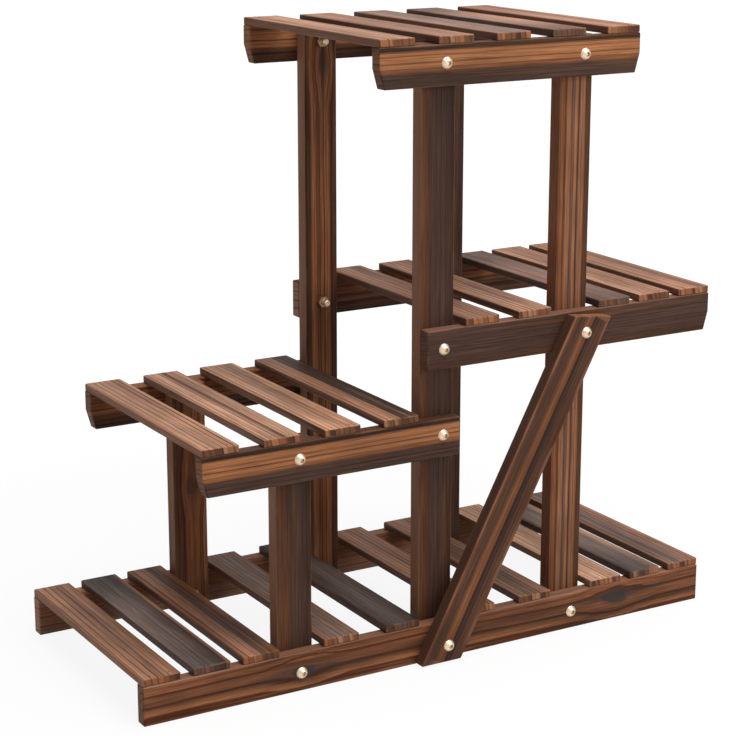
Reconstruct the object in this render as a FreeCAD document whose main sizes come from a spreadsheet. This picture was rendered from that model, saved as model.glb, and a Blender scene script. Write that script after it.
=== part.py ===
"""Four-tier slatted plant stand, a bolted wooden frame on three pairs of posts.

Millimetres, +X to the right along the shelves, +Y to the back, +Z up. The origin is on the floor, in the
middle of the box around the whole stand. The base, the left shelf, the right shelf and the top shelf each
have a front and a rear rail with slats across them. Bolts hold the rails to the outer faces of the posts,
and one diagonal brace across the front shares two of those bolts.
"""
import FreeCAD
import Part
import Sketcher
import math
import os

# Driving dimensions: name, millimetres, meaning
DRIVING_SIZES = [
    ("base_length", 600.0, "length of the base rails"),
    ("frame_depth", 252.0, "from the front rails' outer face to the rear rails' outer face"),
    ("rail_height", 36.0, "height of every rail"),
    ("rail_thickness", 13.0, "thickness of every rail"),
    ("left_rail_top", 230.5, "height of the left shelf's rails above the floor, at their top"),
    ("right_rail_top", 312.5, "height of the right shelf's rails above the floor, at their top"),
    ("top_rail_top", 564.0, "height of the top shelf's rails above the floor, at their top"),
    ("left_overhang", 76.5, "left shelf, from the short posts to its free end"),
    ("top_overhang_left", 50.0, "top shelf, from the centre posts to its left end"),
    ("top_overhang_right", 43.5, "top shelf, from the right posts to its right end"),
    ("bevel_run", 5.0, "bevel at a rail's free lower corner, along the rail"),
    ("bevel_rise", 18.0, "bevel at a rail's free lower corner, up the rail's end"),
    ("post_width", 35.0, "width of a post, along the shelves"),
    ("post_thickness", 15.0, "thickness of a post, front to back"),
    ("slat_thickness", 7.0, "thickness of a slat"),
    ("slat_inset", 1.0, "slat ends, back from the rails' outer faces"),
    ("post_gap", 6.0, "clear gap between a post and the slat beside it"),
    ("base_end_gap", 4.0, "that gap on the base, before the short posts"),
    ("left_shelf_gap", 8.0, "that gap on the left shelf, before the centre posts"),
    ("right_shelf_gap", 12.5, "that gap on the right shelf, before the right posts"),
    ("brace_width", 38.0, "width of the diagonal brace"),
    ("brace_thickness", 13.0, "thickness of the diagonal brace"),
    ("brace_end_gap", 1.5, "brace ends, up from the floor and down from the right shelf rail's top"),
    ("brace_top_fall", 4.0, "fall of the brace's upper end, from its left corner to its right one"),
    ("edge_ease", 1.2, "radius on the boards' edges"),
    ("base_bolt_drop", 19.0, "bolts of the base, below its rails' top"),
    ("left_shelf_bolt_drop", 15.5, "bolts of the left shelf, below its rails' top"),
    ("right_shelf_bolt_drop", 18.0, "bolts of the right shelf, below its rails' top"),
    ("top_shelf_bolt_drop", 16.2, "bolts of the top shelf, below its rails' top"),
    ("bolt_diameter", 6.0, "bolt shank"),
    ("bolt_hole_clearance", 0.5, "a bolt hole's diameter over the bolt's"),
    ("rail_bolt_end", 7.0, "end of a bolt through rail and post, past the nut"),
    ("brace_bolt_end", 4.0, "end of a bolt through brace, rail and post, past the nut"),
    ("bolt_tip_bevel", 0.7, "bevel on a bolt's end"),
    ("head_diameter", 11.0, "domed bolt head"),
    ("head_height", 3.7, "domed bolt head"),
    ("socket_width", 4.0, "hexagon socket in a bolt head, across its flats"),
    ("socket_depth", 2.2, "hexagon socket in a bolt head"),
    ("nut_width", 10.0, "hexagon nut, across its flats"),
    ("nut_height", 5.0, "hexagon nut"),
    ("nut_bore_clearance", 0.2, "the nut's bore over the bolt's diameter"),
    ("brad_diameter", 1.4, "brad in a slat end"),
    ("brad_hole_clearance", 0.1, "a brad hole's diameter over the brad's"),
    ("brad_edge", 9.0, "brad, in from the slat's long edge"),
    ("brad_sink", 0.3, "brad head, below the slat's top"),
    ("brad_tip_gap", 1.7, "brad tip, above the top shelf's bolt holes, which its slats lie over"),
]

# Shares of the base's length
POST_SPACING_SHARE = 0.2442
SLAT_WIDTH_SHARE = 0.06


class Size:
    """A length together with the formula that binds it to the sheet of driving dimensions."""

    def __init__(self, value, formula):
        self.value = value
        self.formula = formula

    def __add__(self, other):
        return Size(self.value + other.value, f"({self.formula} + {other.formula})")

    def __sub__(self, other):
        return Size(self.value - other.value, f"({self.formula} - {other.formula})")

    def __neg__(self):
        return Size(-self.value, f"(-{self.formula})")

    def __mul__(self, factor):
        return Size(self.value * factor, f"({self.formula} * {factor})")

    def __truediv__(self, divisor):
        return Size(self.value / divisor, f"({self.formula} / {divisor})")

    def scaled(self, length, span):
        """This size times the ratio of two other sizes."""
        return Size(self.value * length.value / span.value,
                    f"({self.formula} * {length.formula} / {span.formula})")


ZERO = Size(0.0, "0")


def diagonal(run, rise):
    """The long side of a right triangle."""
    return Size(math.hypot(run.value, rise.value), f"sqrt({run.formula}^2 + {rise.formula}^2)")


# The document and its sheet of driving dimensions
doc = FreeCAD.newDocument("plant_stand")
sheet = doc.addObject("Spreadsheet::Sheet", "sizes")
for row, (name, value, meaning) in enumerate(DRIVING_SIZES, start=1):
    sheet.set(f"A{row}", name)
    sheet.set(f"B{row}", str(value))
    sheet.set(f"C{row}", meaning)
    sheet.setAlias(f"B{row}", name)
doc.recompute()
SIZES = {name: Size(float(sheet.get(name)), f"sizes.{name}") for name, _, _ in DRIVING_SIZES}

base_length = SIZES["base_length"]
frame_depth = SIZES["frame_depth"]
rail_height = SIZES["rail_height"]
rail_thickness = SIZES["rail_thickness"]
bevel_run = SIZES["bevel_run"]
bevel_rise = SIZES["bevel_rise"]
post_width = SIZES["post_width"]
post_thickness = SIZES["post_thickness"]
slat_thickness = SIZES["slat_thickness"]
slat_inset = SIZES["slat_inset"]
post_gap = SIZES["post_gap"]
brace_thickness = SIZES["brace_thickness"]
brace_end_gap = SIZES["brace_end_gap"]
bolt_diameter = SIZES["bolt_diameter"]
head_diameter = SIZES["head_diameter"]
head_height = SIZES["head_height"]
nut_height = SIZES["nut_height"]
brad_diameter = SIZES["brad_diameter"]
brad_edge = SIZES["brad_edge"]

# Sizes worked out from the driving ones
post_spacing = base_length * POST_SPACING_SHARE
slat_width = base_length * SLAT_WIDTH_SHARE
bolt_hole = bolt_diameter + SIZES["bolt_hole_clearance"]
brad_hole = brad_diameter + SIZES["brad_hole_clearance"]
brad_grip = SIZES["top_shelf_bolt_drop"] - bolt_hole / 2 - SIZES["brad_tip_gap"]
slat_length = frame_depth - slat_inset * 2
left_end = -base_length / 2
right_end = base_length / 2

# The brace hangs on the front alone, so the frame stands back by half of its thickness
front_face = (brace_thickness - frame_depth) / 2
rear_face = front_face + frame_depth


class Post:
    """One pair of posts: its middle, its two sides and how high it stands."""

    def __init__(self, middle, height):
        self.middle = middle
        self.left = middle - post_width / 2
        self.right = middle + post_width / 2
        self.height = height


POSTS = {
    "short": Post(-post_spacing, SIZES["left_rail_top"]),
    "centre": Post(ZERO, SIZES["top_rail_top"]),
    "right": Post(post_spacing, SIZES["top_rail_top"]),
}
short, centre, right = POSTS.values()


def spread(first_edge, last_edge, count):
    """Left edges of slats spaced evenly between two outer edges."""
    pitch = (last_edge - slat_width - first_edge) / (count - 1)
    return [first_edge + pitch * i for i in range(count)]


class Shelf:
    """One tier: its rails' ends, top and bolts, its bevelled ends, its posts and its slats."""

    def __init__(self, name, left, right, top, bevels, posts, slats):
        self.name = name
        self.left = left
        self.right = right
        self.top = top
        self.bolts = top - SIZES[name + "_bolt_drop"]
        self.bevels = bevels
        self.posts = posts
        self.slats = slats


top_left = centre.left - SIZES["top_overhang_left"]
top_right = right.right + SIZES["top_overhang_right"]
left_shelf_left = short.left - SIZES["left_overhang"]
after_centre = centre.right + post_gap
inner_right_slats = spread(after_centre, right.left - SIZES["right_shelf_gap"], count=2)
outer_right_slats = spread(right.right + post_gap, right_end, count=3)
left_slats = spread(left_shelf_left, centre.left - SIZES["left_shelf_gap"], count=4)
base_slats = spread(left_end, short.left - SIZES["base_end_gap"], count=3)
base_slats += spread(short.right + post_gap, centre.left - post_gap, count=2)
base_slats += spread(after_centre, right.left - post_gap, count=2)
base_slats += outer_right_slats

base = Shelf("base", left_end, right_end, rail_height, (), (short, centre, right), base_slats)
left_shelf = Shelf("left_shelf", left_shelf_left, centre.right, SIZES["left_rail_top"], ("left",),
                   (short, centre), left_slats)
right_shelf = Shelf("right_shelf", centre.left, right_end, SIZES["right_rail_top"], ("right",),
                    (centre, right), inner_right_slats + outer_right_slats)
top_shelf = Shelf("top_shelf", top_left, top_right, SIZES["top_rail_top"], ("left", "right"),
                  (centre, right), spread(top_left, top_right, count=5))
SHELVES = (base, left_shelf, right_shelf, top_shelf)


def bind(item, path, size):
    """Let a formula of the sheet's sizes set one property."""
    item.setExpression(path, size.formula)


def place(item, x, y, z):
    """Put a piece where three sizes say."""
    bind(item, ".Placement.Base.x", x)
    bind(item, ".Placement.Base.y", y)
    bind(item, ".Placement.Base.z", z)


def new_body(label):
    body = doc.addObject("PartDesign::Body", label)
    body.Label = label
    return body


def new_sketch(body, name, plane):
    """A sketch on one of the body's own origin planes."""
    sketch = body.newObject("Sketcher::SketchObject", name)
    support = [feature for feature in body.Origin.OriginFeatures if feature.Role == plane]
    sketch.AttachmentSupport = [(support[0], "")]
    sketch.MapMode = "FlatFace"
    return sketch


def pin_point(sketch, geometry, corner, across, up):
    """Hold one point of a sketch at a pair of sizes."""
    for kind, size in (("DistanceX", across), ("DistanceY", up)):
        index = sketch.addConstraint(Sketcher.Constraint(kind, geometry, corner, size.value))
        bind(sketch, f"Constraints[{index}]", size)


def draw_outline(sketch, points):
    """A closed outline of straight lines."""
    corners = [FreeCAD.Vector(across.value, up.value, 0) for across, up in points]
    count = len(corners)
    for i in range(count):
        sketch.addGeometry(Part.LineSegment(corners[i], corners[(i + 1) % count]), False)
    for i in range(count):
        sketch.addConstraint(Sketcher.Constraint("Coincident", i, 2, (i + 1) % count, 1))
    for i, (across, up) in enumerate(points):
        pin_point(sketch, i, 1, across, up)


def draw_circles(sketch, centres, diameter):
    for across, up in centres:
        middle = FreeCAD.Vector(across.value, up.value, 0)
        circle = Part.Circle(middle, FreeCAD.Vector(0, 0, 1), diameter.value / 2)
        geometry = sketch.addGeometry(circle, False)
        pin_point(sketch, geometry, 3, across, up)
        index = sketch.addConstraint(Sketcher.Constraint("Diameter", geometry, diameter.value))
        bind(sketch, f"Constraints[{index}]", diameter)


def board(label, plane, outline, thickness):
    """A sawn board: its outline, its thickness, and a small radius on every edge."""
    body = new_body(label)
    sketch = new_sketch(body, label + "_outline", plane)
    draw_outline(sketch, outline)
    pad = body.newObject("PartDesign::Pad", label + "_stock")
    pad.Profile = sketch
    bind(pad, "Length", thickness)
    doc.recompute()
    eased = body.newObject("PartDesign::Fillet", label + "_eased")
    eased.Base = (pad, [f"Edge{i}" for i in range(1, len(pad.Shape.Edges) + 1)])
    bind(eased, "Radius", SIZES["edge_ease"])
    doc.recompute()
    return body


def drill(body, purpose, plane, centres, diameter, depth=None, level=ZERO):
    """Holes square to a plane: right through, or down from a level to a depth."""
    before = body.Shape.Volume
    sketch = new_sketch(body, f"{body.Label}_{purpose}_places", plane)
    bind(sketch, ".AttachmentOffset.Base.z", level)
    draw_circles(sketch, centres, diameter)
    pocket = body.newObject("PartDesign::Pocket", f"{body.Label}_{purpose}")
    pocket.Profile = sketch
    if depth is None:
        pocket.Type = "ThroughAll"
        pocket.Midplane = True
    else:
        pocket.Type = "Length"
        bind(pocket, "Length", depth)
    doc.recompute()
    if body.Shape.Volume >= before:
        raise RuntimeError(f"{body.Label}: {purpose} cut nothing")


def make_rail(label, shelf, outer_face):
    """A rail on edge: bolt holes at its posts, and brad holes in its top under each slat."""
    length = shelf.right - shelf.left
    outline = []
    if "left" in shelf.bevels:
        outline += [(ZERO, bevel_rise), (bevel_run, ZERO)]
    else:
        outline += [(ZERO, ZERO)]
    if "right" in shelf.bevels:
        outline += [(length - bevel_run, ZERO), (length, bevel_rise)]
    else:
        outline += [(length, ZERO)]
    outline += [(length, rail_height), (ZERO, rail_height)]
    rail = board(label, "XZ_Plane", outline, rail_thickness)
    bottom = shelf.top - rail_height
    bolts = [(post.middle - shelf.left, shelf.bolts - bottom) for post in shelf.posts]
    drill(rail, "bolt_holes", "XZ_Plane", bolts, bolt_hole)
    brads = []
    for edge in shelf.slats:
        for across in (brad_edge, slat_width - brad_edge):
            brads.append((edge + across - shelf.left, -rail_thickness / 2))
    drill(rail, "brad_holes", "XY_Plane", brads, brad_hole, brad_grip, rail_height)
    place(rail, shelf.left, outer_face + rail_thickness, bottom)
    return rail


def make_post(label, post, outer_face):
    """A post on its end: one bolt hole for each rail that it carries."""
    outline = [(ZERO, ZERO), (post_width, ZERO), (post_width, post_thickness), (ZERO, post_thickness)]
    upright = board(label, "XY_Plane", outline, post.height)
    bolts = [(post_width / 2, shelf.bolts) for shelf in SHELVES if post in shelf.posts]
    drill(upright, "bolt_holes", "XZ_Plane", bolts, bolt_hole)
    place(upright, post.left, outer_face, ZERO)
    return upright


def make_slat(label, left_edge, shelf):
    """A flat slat across the two rails, with two brad holes at each end."""
    outline = [(ZERO, ZERO), (slat_width, ZERO), (slat_width, slat_length), (ZERO, slat_length)]
    slat = board(label, "XY_Plane", outline, slat_thickness)
    over_rail = rail_thickness / 2 - slat_inset
    brads = []
    for across in (brad_edge, slat_width - brad_edge):
        for along in (over_rail, slat_length - over_rail):
            brads.append((across, along))
    drill(slat, "brad_holes", "XY_Plane", brads, brad_hole)
    place(slat, left_edge, front_face + slat_inset, shelf.top)
    return slat


def make_brace():
    """The diagonal brace: a level foot, a sloped upper end, and a hole at each bolt that it shares."""
    run = right.middle - centre.middle
    rise = right_shelf.bolts - base.bolts
    foot = brace_end_gap
    left_height = right_shelf.top - brace_end_gap - foot
    right_height = left_height - SIZES["brace_top_fall"]
    level_width = SIZES["brace_width"].scaled(diagonal(run, rise), rise)
    upper_right = level_width + run.scaled(right_height, rise)
    outline = [(ZERO, ZERO), (level_width, ZERO), (upper_right, right_height),
               (run.scaled(left_height, rise), left_height)]
    brace = board("diagonal_brace", "XZ_Plane", outline, brace_thickness)
    first = (level_width / 2 + run.scaled(base.bolts - foot, rise), base.bolts - foot)
    second = (first[0] + run, right_shelf.bolts - foot)
    drill(brace, "bolt_holes", "XZ_Plane", [first, second], bolt_hole)
    place(brace, centre.middle - first[0], front_face, foot)
    return brace


def make_bolt(label, grip, end):
    """A domed bolt with a hexagon socket: the head's seat at the origin, the head up, the shank down."""
    reach = grip + nut_height + end
    tip = SIZES["bolt_tip_bevel"]
    dome = doc.addObject("Part::Sphere", label + "_dome")
    half_head = f"({head_diameter.formula} / 2)"
    ball = f"(({half_head}^2 + {head_height.formula}^2) / (2 * {head_height.formula}))"
    dome.setExpression("Radius", ball)
    dome.setExpression("Angle1", f"asin(1 - {head_height.formula} / {ball})")
    dome.setExpression(".Placement.Base.z", f"{head_height.formula} - {ball}")
    shank = doc.addObject("Part::Cylinder", label + "_shank")
    bind(shank, "Radius", bolt_diameter / 2)
    bind(shank, "Height", reach - tip)
    bind(shank, ".Placement.Base.z", tip - reach)
    point = doc.addObject("Part::Cone", label + "_point")
    bind(point, "Radius1", bolt_diameter / 2 - tip)
    bind(point, "Radius2", bolt_diameter / 2)
    bind(point, "Height", tip)
    bind(point, ".Placement.Base.z", -reach)
    blank = doc.addObject("Part::MultiFuse", label + "_blank")
    blank.Shapes = [dome, shank, point]
    socket = doc.addObject("Part::Prism", label + "_socket")
    socket.Polygon = 6
    bind(socket, "Circumradius", SIZES["socket_width"] / math.sqrt(3))
    bind(socket, "Height", head_height)
    bind(socket, ".Placement.Base.z", head_height - SIZES["socket_depth"])
    bolt = doc.addObject("Part::Cut", label)
    bolt.Base = blank
    bolt.Tool = socket
    return bolt


def make_nut(label):
    """A hexagon nut, its seat at the origin, standing down along the bolt."""
    prism = doc.addObject("Part::Prism", label + "_prism")
    prism.Polygon = 6
    bind(prism, "Circumradius", SIZES["nut_width"] / math.sqrt(3))
    bind(prism, "Height", nut_height)
    bind(prism, ".Placement.Base.z", -nut_height)
    bore = doc.addObject("Part::Cylinder", label + "_bore")
    bind(bore, "Radius", (bolt_diameter + SIZES["nut_bore_clearance"]) / 2)
    bind(bore, "Height", nut_height)
    bind(bore, ".Placement.Base.z", -nut_height)
    nut = doc.addObject("Part::Cut", label)
    nut.Base = prism
    nut.Tool = bore
    return nut


def make_brad(label):
    """A headless brad, its upper end at the origin."""
    brad = doc.addObject("Part::Cylinder", label)
    length = slat_thickness + brad_grip - SIZES["brad_sink"]
    bind(brad, "Radius", brad_diameter / 2)
    bind(brad, "Height", length)
    bind(brad, ".Placement.Base.z", -length)
    return brad


def make_group(label, pattern, places, turns):
    """One node of identical fasteners: a copy of the pattern at each place, turned about X."""
    copies = []
    for i, ((x, y, z), turn) in enumerate(zip(places, turns), start=1):
        holder = doc.addObject("App::Link", f"{label}_{i}")
        holder.LinkedObject = pattern
        holder.LinkTransform = True
        holder.Placement.Rotation = FreeCAD.Rotation(FreeCAD.Vector(1, 0, 0), turn)
        place(holder, x, y, z)
        copies.append(holder)
    group = doc.addObject("Part::Compound", label)
    group.Label = label
    group.Links = copies
    return group


pieces = []
for shelf in SHELVES:
    pieces.append(make_rail(f"{shelf.name}_front_rail", shelf, front_face))
    pieces.append(make_rail(f"{shelf.name}_rear_rail", shelf, rear_face - rail_thickness))
    for i, left_edge in enumerate(shelf.slats, start=1):
        pieces.append(make_slat(f"{shelf.name}_slat_{i}", left_edge, shelf))
for post_name, post in POSTS.items():
    pieces.append(make_post(f"{post_name}_post_front", post, front_face + rail_thickness))
    pieces.append(make_post(f"{post_name}_post_rear", post, rear_face - rail_thickness - post_thickness))
pieces.append(make_brace())

# Bolts and nuts: turned about X so that a front bolt's head faces the front and a rear bolt's the back
FRONT_TURN = 90
REAR_TURN = -90
braced = [(centre, base), (right, right_shelf)]
clamped = rail_thickness + post_thickness
plain_bolts, plain_turns, brace_bolts, brace_turns, nuts, nut_turns = [], [], [], [], [], []
for shelf in SHELVES:
    for post in shelf.posts:
        if (post, shelf) in braced:
            brace_bolts.append((post.middle, front_face - brace_thickness, shelf.bolts))
            brace_turns.append(FRONT_TURN)
        else:
            plain_bolts.append((post.middle, front_face, shelf.bolts))
            plain_turns.append(FRONT_TURN)
        plain_bolts.append((post.middle, rear_face, shelf.bolts))
        plain_turns.append(REAR_TURN)
        nuts.append((post.middle, front_face + clamped, shelf.bolts))
        nut_turns.append(FRONT_TURN)
        nuts.append((post.middle, rear_face - clamped, shelf.bolts))
        nut_turns.append(REAR_TURN)
rail_bolt = make_bolt("rail_bolt", clamped, SIZES["rail_bolt_end"])
brace_bolt = make_bolt("brace_bolt", clamped + brace_thickness, SIZES["brace_bolt_end"])
pieces.append(make_group("rail_bolts", rail_bolt, plain_bolts, plain_turns))
pieces.append(make_group("brace_bolts", brace_bolt, brace_bolts, brace_turns))
pieces.append(make_group("bolt_nuts", make_nut("bolt_nut"), nuts, nut_turns))

# Brads: two in each slat end, over the middle of the rail
brad = make_brad("brad")
for shelf in SHELVES:
    places = []
    for edge in shelf.slats:
        for across in (brad_edge, slat_width - brad_edge):
            for along in (front_face + rail_thickness / 2, rear_face - rail_thickness / 2):
                places.append((edge + across, along, shelf.top + slat_thickness - SIZES["brad_sink"]))
    pieces.append(make_group(f"{shelf.name}_brads", brad, places, [0] * len(places)))

# Every object sound before anything is written
doc.recompute()
for item in doc.Objects:
    if "Invalid" in item.State or "Error" in item.State:
        raise RuntimeError(f"{item.Label}: {item.State}")
for piece in pieces:
    if piece.Shape.isNull() or not piece.Shape.isValid():
        raise RuntimeError(f"{piece.Label}: no sound shape")

os.makedirs("parts", exist_ok=True)
for piece in pieces:
    piece.Shape.exportStep(f"parts/{piece.Label}.step")
    print(piece.Label, len(piece.Shape.Solids), round(piece.Shape.Volume, 1))
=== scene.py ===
import math
import random
from collections import namedtuple

import bpy
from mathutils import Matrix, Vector


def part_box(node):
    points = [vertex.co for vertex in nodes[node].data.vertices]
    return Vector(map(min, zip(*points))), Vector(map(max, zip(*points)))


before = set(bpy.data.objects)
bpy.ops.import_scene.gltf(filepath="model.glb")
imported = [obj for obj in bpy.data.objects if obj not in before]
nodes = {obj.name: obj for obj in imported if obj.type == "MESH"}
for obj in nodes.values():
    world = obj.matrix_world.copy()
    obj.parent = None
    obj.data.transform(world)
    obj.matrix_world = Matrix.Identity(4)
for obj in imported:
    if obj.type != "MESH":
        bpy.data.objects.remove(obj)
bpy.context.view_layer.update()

MM = 0.001

# Stain colours, from burnt black-brown to pale tan, as linear RGB, some of them also carrying painted shade,
# light and sheen
CHAR = (0.038, 0.016, 0.009)
SOOT = (0.042, 0.032, 0.029)
SMOKE = (0.070, 0.036, 0.024)
# The grey of burnt wood, made lighter as a painted sheen of reflected light on the dark slats
ASH_AND_SHEEN = (0.178, 0.126, 0.105)
# GLOOM is also the default painted shade on the long sides
GLOOM = (0.082, 0.031, 0.015)
UMBER = (0.120, 0.047, 0.022)
RUSSET = (0.232, 0.085, 0.035)
HONEY = (0.370, 0.147, 0.060)
CLAY = (0.272, 0.134, 0.085)
TAN = (0.405, 0.198, 0.115)
SAND = (0.515, 0.276, 0.168)
STRAW = (0.680, 0.390, 0.243)

BUMP_STRENGTH = 0.5

# A layer of noise: its scale and detail, the factor that draws it out lengthwise, and its smooth step if any
Layer = namedtuple("Layer", "scale detail roughness stretch step", defaults=(2.0, 0.5, 1.0, None))


class Graph:
    """Short ways to add shader nodes to a material or a world."""

    def __init__(self, owner):
        self.owner = owner
        owner.use_nodes = True
        self.tree = owner.node_tree
        self.tree.nodes.clear()

    def new(self, kind):
        return self.tree.nodes.new(kind)

    def put(self, socket, source):
        """Feed a socket from another socket or set its own value."""
        if isinstance(source, bpy.types.NodeSocket):
            self.tree.links.new(source, socket)
        else:
            socket.default_value = source

    def feed(self, sockets, sources):
        for socket, source in zip(sockets, sources):
            self.put(socket, source)

    def maths(self, operation, a, b=0.0):
        node = self.new("ShaderNodeMath")
        node.operation = operation
        self.feed(node.inputs, (a, b))
        return node.outputs[0]

    def plus(self, a, b):
        return self.maths("ADD", a, b)

    def minus(self, a, b):
        return self.maths("SUBTRACT", a, b)

    def times(self, a, b):
        return self.maths("MULTIPLY", a, b)

    def most(self, a, b):
        return self.maths("MAXIMUM", a, b)

    def least(self, a, b):
        return self.maths("MINIMUM", a, b)

    def unsigned(self, a):
        return self.maths("ABSOLUTE", a)

    def reach(self, a, b, squash=1.0):
        """The distance that two offsets make, the first one squashed."""
        a = self.times(a, squash)
        return self.maths("SQRT", self.plus(self.times(a, a), self.times(b, b)))

    def vector(self, operation, a, b):
        node = self.new("ShaderNodeVectorMath")
        node.operation = operation
        self.feed(node.inputs, (a, b))
        return node.outputs["Value" if operation == "DOT_PRODUCT" else "Vector"]

    def combine(self, x, y, z):
        node = self.new("ShaderNodeCombineXYZ")
        self.feed(node.inputs, (x, y, z))
        return node.outputs[0]

    def step(self, value, low, high, to_low=0.0, to_high=1.0):
        """A smooth step from one level to another."""
        node = self.new("ShaderNodeMapRange")
        node.interpolation_type = "SMOOTHSTEP"
        self.feed(node.inputs, (value, low, high, to_low, to_high))
        return node.outputs[0]

    def fade(self, value, low, high, level=1.0):
        """A smooth step from a level down to nothing."""
        return self.step(value, low, high, level, 0.0)

    def noise(self, layer, place):
        node = self.new("ShaderNodeTexNoise")
        self.put(node.inputs["Vector"], place)
        node.inputs["Scale"].default_value = layer.scale
        node.inputs["Detail"].default_value = layer.detail
        node.inputs["Roughness"].default_value = layer.roughness
        if layer.step is None:
            return node.outputs["Fac"]
        return self.step(node.outputs["Fac"], *layer.step)

    def mix(self, factor, a, b, blend="MIX"):
        """Two colours in one, each of them a socket or a plain colour."""
        node = self.new("ShaderNodeMix")
        node.data_type = "RGBA"
        node.blend_type = blend
        self.put(node.inputs["Factor"], factor)
        for socket, source in zip([socket for socket in node.inputs if socket.type == "RGBA"], (a, b)):
            self.put(socket, source if isinstance(source, bpy.types.NodeSocket) else (*source, 1.0))
        return [socket for socket in node.outputs if socket.type == "RGBA"][0]

    def ramp(self, factor, stops):
        """A colour ramp from a list of places and colours."""
        node = self.new("ShaderNodeValToRGB")
        marks = node.color_ramp.elements
        while len(marks) < len(stops):
            marks.new(1.0)
        for mark, (place, colour) in zip(marks, stops):
            mark.position = place
            mark.color = (*colour, 1.0)
        self.put(node.inputs[0], factor)
        return node.outputs[0]

    def seen_directly(self):
        """1 for camera, glossy and transmission rays, 0 for the light that falls on things."""
        path = self.new("ShaderNodeLightPath")
        seen = self.most(path.outputs["Is Camera Ray"], path.outputs["Is Glossy Ray"])
        return self.most(seen, path.outputs["Is Transmission Ray"])

    def blend(self, factor, first, second):
        """Two shaders in one."""
        node = self.new("ShaderNodeMixShader")
        self.feed(node.inputs, (factor, first.outputs[0], second.outputs[0]))
        return node

    def output(self, kind, shader):
        self.put(self.new(kind).inputs["Surface"], shader.outputs[0])

    def finish(self, colour, roughness, height, relief, metallic=0.0, specular=0.5):
        """The shader, with its bump, and the material's output."""
        bump = self.new("ShaderNodeBump")
        bump.inputs["Strength"].default_value = BUMP_STRENGTH
        bump.inputs["Distance"].default_value = relief
        self.put(bump.inputs["Height"], height)
        shader = self.new("ShaderNodeBsdfPrincipled")
        shader.inputs["Metallic"].default_value = metallic
        shader.inputs["Specular IOR Level"].default_value = specular
        self.put(shader.inputs["Base Color"], colour)
        self.put(shader.inputs["Roughness"], roughness)
        self.put(shader.inputs["Normal"], bump.outputs[0])
        self.output("ShaderNodeOutputMaterial", shader)


class Board:
    """Where a board is, which way its grain runs and how big it is, in metres."""

    def __init__(self, centre, along, wide, size):
        self.centre = centre
        self.along = along
        self.wide = wide
        self.thin = along.cross(wide)
        self.half = [side / 2 for side in size]


# Layers of the wood, drawn out along the grain, and the farthest that a board's own noise is shifted
FARTHEST_SHIFT = 50
SWAY_SCALE = 22.0
NOISE_MIDDLE = 0.5
TREMBLE = Layer(110.0, stretch=0.10)
RAGGED = Layer(180.0, stretch=0.35)
SEASON = Layer(0.55, detail=1.0)
HAIR_PATCHES = Layer(130.0, stretch=0.06, step=(0.45, 0.62))
SOOT_STREAKS = Layer(75.0, detail=4.0, roughness=0.6, stretch=0.035, step=(0.50, 0.70))
GLOW_STREAKS = Layer(140.0, detail=3.0, roughness=0.6, stretch=0.03, step=(0.54, 0.72))
PORES = Layer(1800.0, detail=1.0, stretch=0.012, step=(0.58, 0.68))
FIBRE = Layer(900.0, roughness=0.6, stretch=0.03)
SCORCH = Layer(16.0, stretch=0.4, step=(0.32, 0.68, 0.80, 1.16))
RUBBED = Layer(60.0, stretch=0.3, step=(0.40, 0.62))
SATIN = Layer(200.0, stretch=0.1, step=(0.3, 0.7, 0.46, 0.60))

# Knots: how far their shapes are squashed along the grain, and how far they reach, in radii
HEART_SQUASH = 0.45
HEART_EDGE = (0.6, 1.1)
TAIL_SQUASH = 0.09
TAIL_REACH = 0.8
TAIL_DARKNESS = 0.8
PULL_REACH = 3.2
PULL_AT_HEART = 0.85

# Growth rings: what bends them and varies their widths, and where in a ring its line and hairlines lie
TREMBLE_WIDTH = 1.6 * MM
SWAY_IN_DEPTH = 3.0 * MM
SEASON_SWING = 2.2
LINE_DARKEST = 0.84
LINE_END = (0.94, 1.0)
FAINTEST_LINE = 0.4
HAIRS_IN_RING = 2.7
HAIR_START = (0.70, 0.88)
HAIR_END = (0.92, 1.0)

# Stain: what lines and pores leave of the colour round them, and how fibres, burnt ends and a painted sheen
# in the middle change its tone
INK = (0.19, 0.10, 0.06)
HAIR_INK = 0.6
PORE_INK = 0.4
FIBRE_TONE = (0.25, 0.75, 0.74, 1.24)
BURN_AND_SHEEN_SPAN = (0.15, 0.95)

# Sides, ends and edges: how squarely a face has to look that way, and how each is coloured, the long sides
# in painted shade and light
SIDE_TURN = (0.5, 0.9)
END_TURN = (0.75, 0.92)
END_STRIPES = ((0.0, CHAR), (0.25, UMBER), (0.6, RUSSET), (0.85, HONEY), (1.0, TAN))
END_STAIN = 0.6
END_LINES = 0.5
EDGE_BAND = (0.2 * MM, 1.8 * MM)
EDGE_WEAR = 0.30

# Gloss and relief of the wood
LINE_DULLNESS = 0.08
LINE_DENT = 0.7
PORE_DENT = 0.5
FIBRE_RISE = 0.6
WOOD_RELIEF = 0.35 * MM
WOOD_SPECULAR = 0.12


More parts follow.
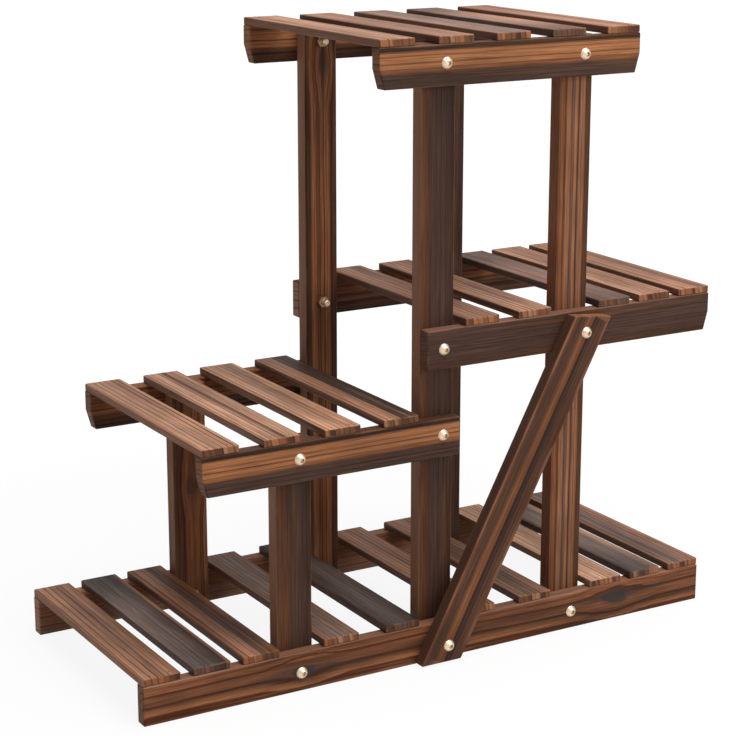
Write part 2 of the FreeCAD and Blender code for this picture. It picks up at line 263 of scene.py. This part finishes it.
class Wood(Graph):
    """Stained and burnt pine for one board, in the style that LOOKS gives it."""

    def __init__(self, name, board, style, seed):
        super().__init__(bpy.data.materials.new(name))
        chance = random.Random(seed)
        self.board = board
        self.style = style
        self.shift = [chance.uniform(0, FARTHEST_SHIFT) for _ in range(3)]
        place = self.vector("SUBTRACT", self.new("ShaderNodeTexCoord").outputs["Object"], board.centre)
        self.along = self.vector("DOT_PRODUCT", place, board.along)
        self.wide = self.vector("DOT_PRODUCT", place, board.wide)
        self.thin = self.vector("DOT_PRODUCT", place, board.thin)
        self.grow_knots()
        self.grow_rings()
        self.stain()
        self.shade_sides_and_stain_ends()
        self.rub_edges()
        self.polish()

    def layer(self, layer):
        """A layer of noise in the board's own space."""
        drawn = self.combine(self.times(self.along, layer.stretch), self.wide, self.thin)
        return self.noise(layer, self.vector("ADD", drawn, self.shift))

    def swing(self, layer):
        """A layer of noise that swings to both sides of zero."""
        return self.minus(self.layer(layer), NOISE_MIDDLE)

    def grow_knots(self):
        """Knots push the grain aside and leave a dark heart with a smudge along the grain."""
        half_length, half_width, _ = self.board.half
        self.flow = self.wide
        self.heart = 0.0
        for along_share, wide_share, radius, dark in self.style["knots"]:
            off_along = self.minus(self.along, (along_share - 0.5) * 2 * half_length)
            off_wide = self.minus(self.wide, (wide_share - 0.5) * 2 * half_width)
            ragged = self.times(self.swing(RAGGED), radius * MM)
            reach = self.plus(self.reach(off_along, off_wide, HEART_SQUASH), ragged)
            pull = self.fade(reach, 0.0, radius * PULL_REACH * MM, PULL_AT_HEART)
            self.flow = self.minus(self.flow, self.times(off_wide, pull))
            inner, outer = HEART_EDGE
            core = self.fade(reach, radius * inner * MM, radius * outer * MM, dark)
            streak = self.plus(self.reach(off_along, off_wide, TAIL_SQUASH), ragged)
            tail = self.fade(streak, 0.0, radius * TAIL_REACH * MM, dark * TAIL_DARKNESS)
            self.heart = self.most(self.heart, self.most(core, tail))

    def grow_rings(self):
        """Growth rings round a pith that lies outside the board, none as wide or as dark as the next."""
        style = self.style
        sway = self.swing(Layer(SWAY_SCALE, stretch=style["stretch"]))
        self.flow = self.plus(self.flow, self.times(sway, style["sway"] * MM))
        self.flow = self.plus(self.flow, self.times(self.swing(TREMBLE), TREMBLE_WIDTH))
        pith_wide, pith_thin = style["pith"]
        from_wide = self.minus(self.flow, pith_wide * MM)
        from_thin = self.minus(self.plus(self.thin, self.times(sway, SWAY_IN_DEPTH)), pith_thin * MM)
        even = self.maths("DIVIDE", self.reach(from_wide, from_thin), style["pitch"] * MM)
        season = self.noise(SEASON, self.combine(even, self.shift[1], self.shift[2]))
        count = self.plus(even, self.times(season, SEASON_SWING))
        whim = self.new("ShaderNodeTexWhiteNoise")
        whim.noise_dimensions = "1D"
        self.put(whim.inputs["W"], self.plus(self.maths("FLOOR", count), self.shift[0]))
        self.whim = whim.outputs["Value"]
        share = self.maths("FRACT", count)
        darkening = self.step(share, style["line_start"], LINE_DARKEST)
        self.late = self.times(darkening, self.fade(share, *LINE_END))
        self.line = self.times(self.late, self.step(self.whim, 0.0, 1.0, FAINTEST_LINE, 1.0))
        share = self.maths("FRACT", self.times(count, HAIRS_IN_RING))
        hair = self.times(self.step(share, *HAIR_START), self.fade(share, *HAIR_END))
        self.hair = self.times(hair, self.layer(HAIR_PATCHES))

    def stain(self):
        """Zones across the board, then lines, streaks, pores, scorched patches, burnt ends with a painted
        sheen between, fibres and knots.
        """
        style = self.style
        half_length, half_width, _ = self.board.half
        across = self.plus(self.maths("DIVIDE", self.flow, 2 * half_width), 0.5)
        self.zone = self.ramp(across, style["zones"])
        ink = self.mix(1.0, self.zone, INK, "MULTIPLY")
        colour = self.mix(self.times(self.line, style["lines"]), self.zone, ink)
        colour = self.mix(self.times(self.hair, style["lines"] * HAIR_INK), colour, ink)
        colour = self.mix(self.times(self.layer(SOOT_STREAKS), style["soot"]), colour, CHAR)
        colour = self.mix(self.times(self.layer(GLOW_STREAKS), style["glow"]), colour, style["glow_colour"])
        self.pores = self.layer(PORES)
        colour = self.mix(self.times(self.pores, PORE_INK), colour, ink)
        self.fibre = self.layer(FIBRE)
        tone = self.times(self.layer(SCORCH), self.step(self.fibre, *FIBRE_TONE))
        # Burnt ends darker, and the middle lighter as a painted sheen of reflected light
        from_middle = self.maths("DIVIDE", self.unsigned(self.along), half_length)
        tone = self.times(tone, self.step(from_middle, *BURN_AND_SHEEN_SPAN, *style["burn_and_sheen"]))
        colour = self.mix(1.0, colour, self.combine(tone, tone, tone), "MULTIPLY")
        self.colour = self.mix(self.heart, colour, SOOT)

    def facing(self, direction):
        """How squarely a face looks along a direction or against it."""
        normal = self.new("ShaderNodeNewGeometry").outputs["Normal"]
        return self.unsigned(self.vector("DOT_PRODUCT", normal, direction))

    def shade_sides_and_stain_ends(self):
        """Long sides painted darker or paler as their shade and light, and end grain with each ring a stripe
        of its own.
        """
        style = self.style
        # Painted shade and light: the long sides are tinted by how squarely they face across the board
        side = self.step(self.facing(self.board.wide), *SIDE_TURN, 0.0, style["sides"])
        colour = self.mix(side, self.colour, style["side_colour"])
        plain_cut = self.mix(END_STAIN, self.zone, style["end_colour"])
        cut = self.mix(style["end_stripes"], plain_cut, self.ramp(self.whim, END_STRIPES))
        cut = self.mix(self.times(self.late, END_LINES), cut, CHAR)
        end = self.step(self.facing(self.board.along), *END_TURN)
        self.colour = self.mix(end, colour, cut)

    def rub_edges(self):
        """Edges rubbed paler in patches: an edge is where two of the three margins are small."""
        distances = (self.along, self.wide, self.thin)
        a, b, c = [self.minus(half, self.unsigned(far)) for half, far in zip(self.board.half, distances)]
        second = self.most(self.least(a, b), self.least(self.most(a, b), c))
        rubbed = self.times(self.fade(second, *EDGE_BAND), self.layer(RUBBED))
        self.colour = self.mix(self.times(rubbed, EDGE_WEAR), self.colour, TAN)

    def polish(self):
        """A satin face, duller and sunk where lines and pores are."""
        roughness = self.plus(self.layer(SATIN), self.times(self.line, LINE_DULLNESS))
        dents = self.plus(self.times(self.line, LINE_DENT), self.times(self.pores, PORE_DENT))
        height = self.minus(self.times(self.fibre, FIBRE_RISE), dents)
        self.finish(self.colour, roughness, height, WOOD_RELIEF, specular=WOOD_SPECULAR)


# Metal: its layers, the painted shade in its hollows, and its gloss and relief
CLOUD = Layer(420.0, detail=3.0, roughness=0.6, step=(0.3, 0.7))
CLOUD_SHADE = 0.82
SCRATCH = Layer(2600.0, roughness=0.6, stretch=0.08)
DIRT = Layer(900.0, detail=4.0, roughness=0.7, step=(0.56, 0.74))
HOLLOW_REACH = 2.5 * MM
HOLLOW_OPENNESS = (0.45, 0.90)
HOLLOW_SHADE = 0.40
SCRATCH_SPAN = (0.3, 0.7)
SCRATCH_DULLNESS = 0.12
DIRT_DULLNESS = 0.2
METAL_RELIEF = 0.04 * MM


def metal(name, colour, dull, wear, seed):
    """Plated or plain metal: cloudy tone, fine scratches, a little dirt, and painted shade in its hollows.
    """
    g = Graph(bpy.data.materials.new(name))
    place = g.vector("ADD", g.new("ShaderNodeTexCoord").outputs["Object"], (seed, seed, seed))
    scratch = g.noise(SCRATCH, g.vector("MULTIPLY", place, (1.0, 1.0, SCRATCH.stretch)))
    dirt = g.noise(DIRT, place)
    # Painted shade: ambient occlusion finds the hollows, such as the bolts' sockets, and darkens them toward
    # UMBER
    hollow = g.new("ShaderNodeAmbientOcclusion")
    hollow.only_local = True
    hollow.inputs["Distance"].default_value = HOLLOW_REACH
    hollow_shade = g.fade(hollow.outputs["AO"], *HOLLOW_OPENNESS, HOLLOW_SHADE)
    tone = g.mix(g.noise(CLOUD, place), tuple(CLOUD_SHADE * part for part in colour), colour)
    # Painted shade in the hollows and the noise dirt both darken the tone toward UMBER
    tone = g.mix(g.most(hollow_shade, g.times(dirt, wear)), tone, UMBER)
    brushed = g.step(scratch, *SCRATCH_SPAN, dull, dull + SCRATCH_DULLNESS)
    roughness = g.plus(brushed, g.times(g.most(hollow_shade, dirt), DIRT_DULLNESS))
    g.finish(tone, roughness, scratch, METAL_RELIEF, metallic=1.0)
    return g.owner


# Looks of the boards: zones go from the low or left edge to the high or right one, as shares of the width
PLAIN = {
    "knots": [],            # of each: its place along and across as shares, its radius in mm, its darkness
    "sway": 6.0,            # how far the grain wanders, in mm
    "stretch": 0.05,        # how soon it does
    "pith": (-95.0, 14.0),  # where the rings have their middle, across the board and through it, in mm
    "pitch": 4.6,           # from ring to ring, in mm
    "lines": 0.85,          # how dark the rings' lines are
    "line_start": 0.60,     # where in a ring its line begins
    "soot": 0.45,           # how strong the dark streaks are
    "glow": 0.35,           # how strong the light streaks are
    "glow_colour": HONEY,
    "end_stripes": 0.2,     # how hard the stripes on the ends are
    "end_colour": UMBER,
    "sides": 0.0,           # how far the long sides take painted shade and light
    "side_colour": GLOOM,
    "burn_and_sheen": (1.0, 1.0),     # how bright the middle and the ends are, the ends darker as burnt and the middle lighter as a painted sheen
}


def look(*zones, **changes):
    return {**PLAIN, "zones": zones, **changes}


def pale(*zones, **changes):
    """A pale slat: fine lines, and hard stripes on its ends."""
    return look(*zones, **{"pitch": 5.2, "glow_colour": SAND, "end_stripes": 0.9, "sides": 0.6, **changes})


def burnt(*zones, **changes):
    """A slat burnt nearly smooth, darker toward its ends, and lighter in its middle as a painted sheen."""
    return look(*zones, **{"lines": 0.35, "soot": 0.3, "glow": 0.08, "end_stripes": 0.25, "end_colour": CHAR,
                           "sides": 0.7, "burn_and_sheen": (1.30, 0.62), **changes})


def split_rail(pitch):
    """A rail that is burnt along its edges, with a bright band and one dark line between."""
    return look((0.0, SMOKE), (0.33, SMOKE), (0.42, RUSSET), (0.51, HONEY), (0.57, HONEY), (0.60, UMBER),
                (0.63, HONEY), (0.84, HONEY), (0.90, CHAR), (1.0, CHAR),
                sway=2.0, pitch=pitch, lines=0.4, soot=0.2, glow=0.1, sides=0.6, side_colour=UMBER)


LIGHT = ((0.0, TAN), (0.3, SAND), (0.6, TAN), (1.0, SAND))
ROSY = ((0.0, CLAY), (0.3, TAN), (0.65, CLAY), (1.0, TAN))
DARK_POST = look((0.0, UMBER), (0.12, UMBER), (0.28, GLOOM), (0.40, SMOKE), (0.7, SMOKE), (1.0, CHAR),
                 lines=0.35, soot=0.3, glow=0.15, sides=0.6, side_colour=TAN)
LOOKS = {
    "top_shelf_front_rail": split_rail(4.4),
    "left_shelf_front_rail": split_rail(4.8),
    "right_shelf_front_rail": look((0.0, GLOOM), (0.35, SMOKE), (1.0, SMOKE),
                                   lines=0.5, glow=0.15, sides=0.6, side_colour=CLAY),
    "base_front_rail": look((0.0, RUSSET), (0.2, HONEY), (0.42, UMBER), (0.7, RUSSET), (0.94, RUSSET),
                            (1.0, CLAY), sway=17.0, stretch=0.13, pith=(-30.0, 26.0), pitch=7.0, lines=1.0,
                            line_start=0.50, soot=0.7, glow=0.5, sides=0.6, side_colour=CLAY,
                            knots=[(0.258, 0.5, 7.5, 0.95), (0.83, 0.62, 9.0, 0.95)]),
    # The rear rails of the top and left shelves are darkest along their low edge, which is painted shade
    "top_shelf_rear_rail": look((0.0, CHAR), (0.35, UMBER), (0.45, HONEY), (1.0, HONEY), end_colour=HONEY),
    "left_shelf_rear_rail": look((0.0, CHAR), (0.35, UMBER), (0.45, RUSSET), (1.0, RUSSET)),
    # Its end takes STRAW, paler than its stain, as painted light on an end that sits in shade
    "right_shelf_rear_rail": look((0.0, SMOKE), (0.5, UMBER), (0.6, RUSSET), (1.0, UMBER), end_colour=STRAW),
    "base_rear_rail": look((0.0, SAND), (0.35, TAN), (0.7, HONEY), (1.0, TAN),
                           lines=0.6, soot=0.1, end_colour=SAND),
    "short_post_front": DARK_POST,
    "short_post_rear": look((0.0, UMBER), (0.3, GLOOM), (0.4, RUSSET), (0.78, RUSSET), (0.82, UMBER),
                            (0.88, HONEY), (1.0, RUSSET), sides=0.5, side_colour=TAN,
                            knots=[(0.56, 0.55, 6.0, 0.7)]),
    "centre_post_front": DARK_POST,
    "centre_post_rear": look((0.0, UMBER), (0.05, GLOOM), (0.14, GLOOM), (0.28, HONEY), (0.38, UMBER),
                             (0.5, RUSSET), (0.7, HONEY), (0.85, UMBER), (1.0, UMBER), sides=0.7,
                             side_colour=TAN, knots=[(0.93, 0.6, 7.0, 0.5)]),
    "right_post_front": look((0.0, RUSSET), (0.14, RUSSET), (0.20, GLOOM), (0.27, HONEY), (0.34, CLAY),
                             (0.40, GLOOM), (0.47, CLAY), (0.54, HONEY), (0.60, GLOOM), (0.66, CLAY),
                             (0.75, HONEY), (0.83, UMBER), (1.0, GLOOM),
                             sway=2.0, lines=0.5, soot=0.2, glow=0.2),
    "right_post_rear": look((0.0, SMOKE), (0.5, UMBER), (1.0, SMOKE)),
    "diagonal_brace": look((0.0, RUSSET), (0.06, UMBER), (0.22, SMOKE), (0.36, UMBER), (0.44, RUSSET),
                           (0.54, RUSSET), (0.62, CHAR), (0.78, SMOKE), (0.86, UMBER), (1.0, UMBER),
                           sway=5.0, lines=0.5, glow=0.2, sides=0.85, side_colour=SMOKE, end_colour=HONEY),
    "top_shelf_slat_1": pale((0.0, CLAY), (0.35, TAN), (0.7, SAND), (1.0, CLAY),
                             sides=0.4, side_colour=RUSSET),
    "top_shelf_slat_2": pale(*ROSY, lines=0.6, end_stripes=0.6),
    "top_shelf_slat_3": pale((0.0, CLAY), (0.5, ASH_AND_SHEEN), (1.0, CLAY), lines=0.6),
    "top_shelf_slat_4": burnt((0.0, ASH_AND_SHEEN), (0.4, CLAY), (1.0, CLAY)),
    "top_shelf_slat_5": pale(*ROSY, soot=0.6),
    "left_shelf_slat_1": pale(*LIGHT, lines=1.0, sides=0.4, side_colour=RUSSET),
    "left_shelf_slat_2": pale((0.0, SAND), (0.4, SAND), (0.48, CLAY), (0.56, UMBER), (0.66, SAND),
                              (1.0, SAND)),
    "left_shelf_slat_3": pale((0.0, SAND), (0.5, SAND), (0.7, TAN), (1.0, SAND)),
    "left_shelf_slat_4": pale((0.0, TAN), (0.42, TAN), (0.5, SMOKE), (1.0, SMOKE), end_stripes=0.6),
    "right_shelf_slat_1": pale(*ROSY, soot=0.6),
    "right_shelf_slat_2": pale(*LIGHT, soot=0.6),
    "right_shelf_slat_3": burnt((0.0, ASH_AND_SHEEN), (0.4, CLAY), (0.7, ASH_AND_SHEEN), (1.0, CLAY)),
    "right_shelf_slat_4": pale((0.0, SAND), (0.5, TAN), (0.6, CLAY), (1.0, TAN)),
    "right_shelf_slat_5": pale((0.0, TAN), (0.5, TAN), (0.8, CLAY), (1.0, TAN)),
    "base_slat_1": pale((0.0, TAN), (0.25, TAN), (0.5, CLAY), (0.75, TAN), (1.0, RUSSET),
                        sides=0.4, side_colour=RUSSET),
    "base_slat_2": burnt((0.0, ASH_AND_SHEEN), (0.5, ASH_AND_SHEEN), (0.88, SMOKE), (0.94, TAN), (1.0, TAN)),
    "base_slat_3": pale((0.0, RUSSET), (0.25, TAN), (0.45, CLAY), (0.6, SMOKE), (0.8, UMBER), (1.0, RUSSET),
                        glow_colour=HONEY, end_stripes=0.7),
    "base_slat_4": pale((0.0, CLAY), (0.5, ASH_AND_SHEEN), (1.0, CLAY), lines=0.6),
    "base_slat_5": burnt((0.0, SMOKE), (0.5, ASH_AND_SHEEN), (1.0, SMOKE)),
    "base_slat_6": pale(*ROSY),
    "base_slat_7": pale(*ROSY, soot=0.6),
    "base_slat_8": pale((0.0, STRAW), (0.5, STRAW), (0.7, SAND), (1.0, STRAW), soot=0.15, lines=0.7),
    "base_slat_9": burnt((0.0, SMOKE), (0.2, ASH_AND_SHEEN), (0.7, ASH_AND_SHEEN), (0.8, SAND), (1.0, SAND), end_stripes=0.6),
    "base_slat_10": pale((0.0, CLAY), (0.4, ASH_AND_SHEEN), (0.7, CLAY), (1.0, TAN)),
}


def middle(name):
    low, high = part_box(name)
    return (Vector(low) + Vector(high)) / 2


def find_board(name):
    """The board's grain, width and size, from its box and from which kind of board it is."""
    low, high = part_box(name)
    size = Vector(high) - Vector(low)
    x, y, z = Vector((1, 0, 0)), Vector((0, 1, 0)), Vector((0, 0, 1))
    if "_rail" in name:
        return Board(middle(name), x, z, (size.x, size.z, size.y))
    if "_post_" in name:
        return Board(middle(name), z, x, (size.z, size.x, size.y))
    if "_slat_" in name:
        return Board(middle(name), y, x, (size.y, size.x, size.z))
    # The brace leans from the centre post at the base rail to the right post at the right shelf's rail
    foot = Vector((middle("centre_post_front").x, 0, middle("base_front_rail").z))
    head = Vector((middle("right_post_front").x, 0, middle("right_shelf_front_rail").z))
    along = (head - foot).normalized()
    wide = Vector((along.z, 0, -along.x))
    lean = along.x / along.z
    return Board(middle(name), along, wide, (size.z / along.z, (size.x - lean * size.z) * along.z, size.y))


def dress(name, material):
    for slot in nodes[name].material_slots:
        slot.link = "OBJECT"
        slot.material = material


for seed, (name, style) in enumerate(LOOKS.items(), start=1):
    dress(name, Wood(name + "_wood", find_board(name), style, seed).owner)

bolt_plating = metal("bolt_plating", colour=(0.90, 0.72, 0.52), dull=0.36, wear=0.12, seed=3.0)
brad_steel = metal("brad_steel", colour=(0.12, 0.085, 0.065), dull=0.45, wear=0.6, seed=7.0)
# The nuts' plating is painted darker than the bolts', standing in for the shade the nuts sit in
shaded_nut_plating = metal("shaded_nut_plating", colour=(0.45, 0.31, 0.19), dull=0.40, wear=0.35, seed=5.0)
for name in ("rail_bolts", "brace_bolts"):
    dress(name, bolt_plating)
dress("bolt_nuts", shaded_nut_plating)
for name in ("base_brads", "left_shelf_brads", "right_shelf_brads", "top_shelf_brads"):
    dress(name, brad_steel)

# Floor: pale, and lifted to white for the camera and reflections while it keeps the stand's shadow
FLOOR_SIZE = 40.0
FLOOR_DROP = 0.2 * MM
FLOOR_GREY = (0.60, 0.60, 0.60, 1.0)
FLOOR_WHITE = 1.05
SHADOW_SPAN = (0.44, 1.1)
SHADOW_LIFT = 0.86
bpy.ops.mesh.primitive_plane_add(size=FLOOR_SIZE, location=(0, 0, -FLOOR_DROP))
floor = bpy.context.object
floor.name = "floor"
paper = Graph(bpy.data.materials.new("floor_paper"))
matt = paper.new("ShaderNodeBsdfDiffuse")
matt.inputs["Color"].default_value = FLOOR_GREY
white = paper.new("ShaderNodeEmission")
white.inputs["Strength"].default_value = FLOOR_WHITE
spot = paper.vector("MULTIPLY", paper.new("ShaderNodeTexCoord").outputs["Object"], (1.0, 1.0, 0.0))
far = paper.maths("SQRT", paper.vector("DOT_PRODUCT", spot, spot))
lift = paper.step(far, *SHADOW_SPAN, SHADOW_LIFT, 1.0)
lifted = paper.blend(paper.times(paper.seen_directly(), lift), matt, white)
paper.output("ShaderNodeOutputMaterial", lifted)
floor.data.materials.append(paper.owner)

# World: white where it is seen, and a soft light where it falls, weaker from the left
DIM_SIDE = 0.14
LIT_SIDE = 0.52
world = bpy.data.worlds.new("studio")
bpy.context.scene.world = world
sky = Graph(world)
soft = sky.new("ShaderNodeBackground")
sideways = sky.vector("DOT_PRODUCT", sky.new("ShaderNodeTexCoord").outputs["Generated"], (1.0, 0.0, 0.0))
sky.put(soft.inputs["Strength"], sky.step(sideways, -1.0, 1.0, DIM_SIDE, LIT_SIDE))
bright = sky.new("ShaderNodeBackground")
sky.output("ShaderNodeOutputWorld", sky.blend(sky.seen_directly(), soft, bright))


def aim(thing, place, target):
    thing.location = place
    thing.rotation_euler = (Vector(target) - Vector(place)).to_track_quat("-Z", "Y").to_euler()


def softbox(name, place, target, size, watts):
    lamp = bpy.data.lights.new(name, "AREA")
    lamp.shape = "DISK"
    lamp.size = size
    lamp.energy = watts
    thing = bpy.data.objects.new(name, lamp)
    bpy.context.collection.objects.link(thing)
    aim(thing, place, target)


softbox("top_light", place=(0.3, -0.5, 2.6), target=(0, 0, 0.2), size=2.2, watts=66.0)
softbox("front_light", place=(1.1, -2.5, 1.3), target=(0, 0, 0.25), size=1.8, watts=28.0)

# Camera: where it stands, how far it is turned to the right and tipped down, and its lens in mm
CAMERA_PLACE = Vector((-0.947516, -1.602183, 0.739926))
CAMERA_TURN = math.radians(30.3688)
CAMERA_DIP = math.radians(14.7344)
SENSOR_WIDTH = 36.0
FOCAL_LENGTH = 99.822
lens = bpy.data.cameras.new("camera")
lens.sensor_width = SENSOR_WIDTH
lens.lens = FOCAL_LENGTH
camera = bpy.data.objects.new("camera", lens)
bpy.context.collection.objects.link(camera)
level_share = math.cos(CAMERA_DIP)
view_line = Vector((math.sin(CAMERA_TURN) * level_share,
                    math.cos(CAMERA_TURN) * level_share,
                    -math.sin(CAMERA_DIP)))
aim(camera, CAMERA_PLACE, CAMERA_PLACE + view_line)
bpy.context.scene.camera = camera
bpy.context.scene.view_settings.view_transform = "Standard"
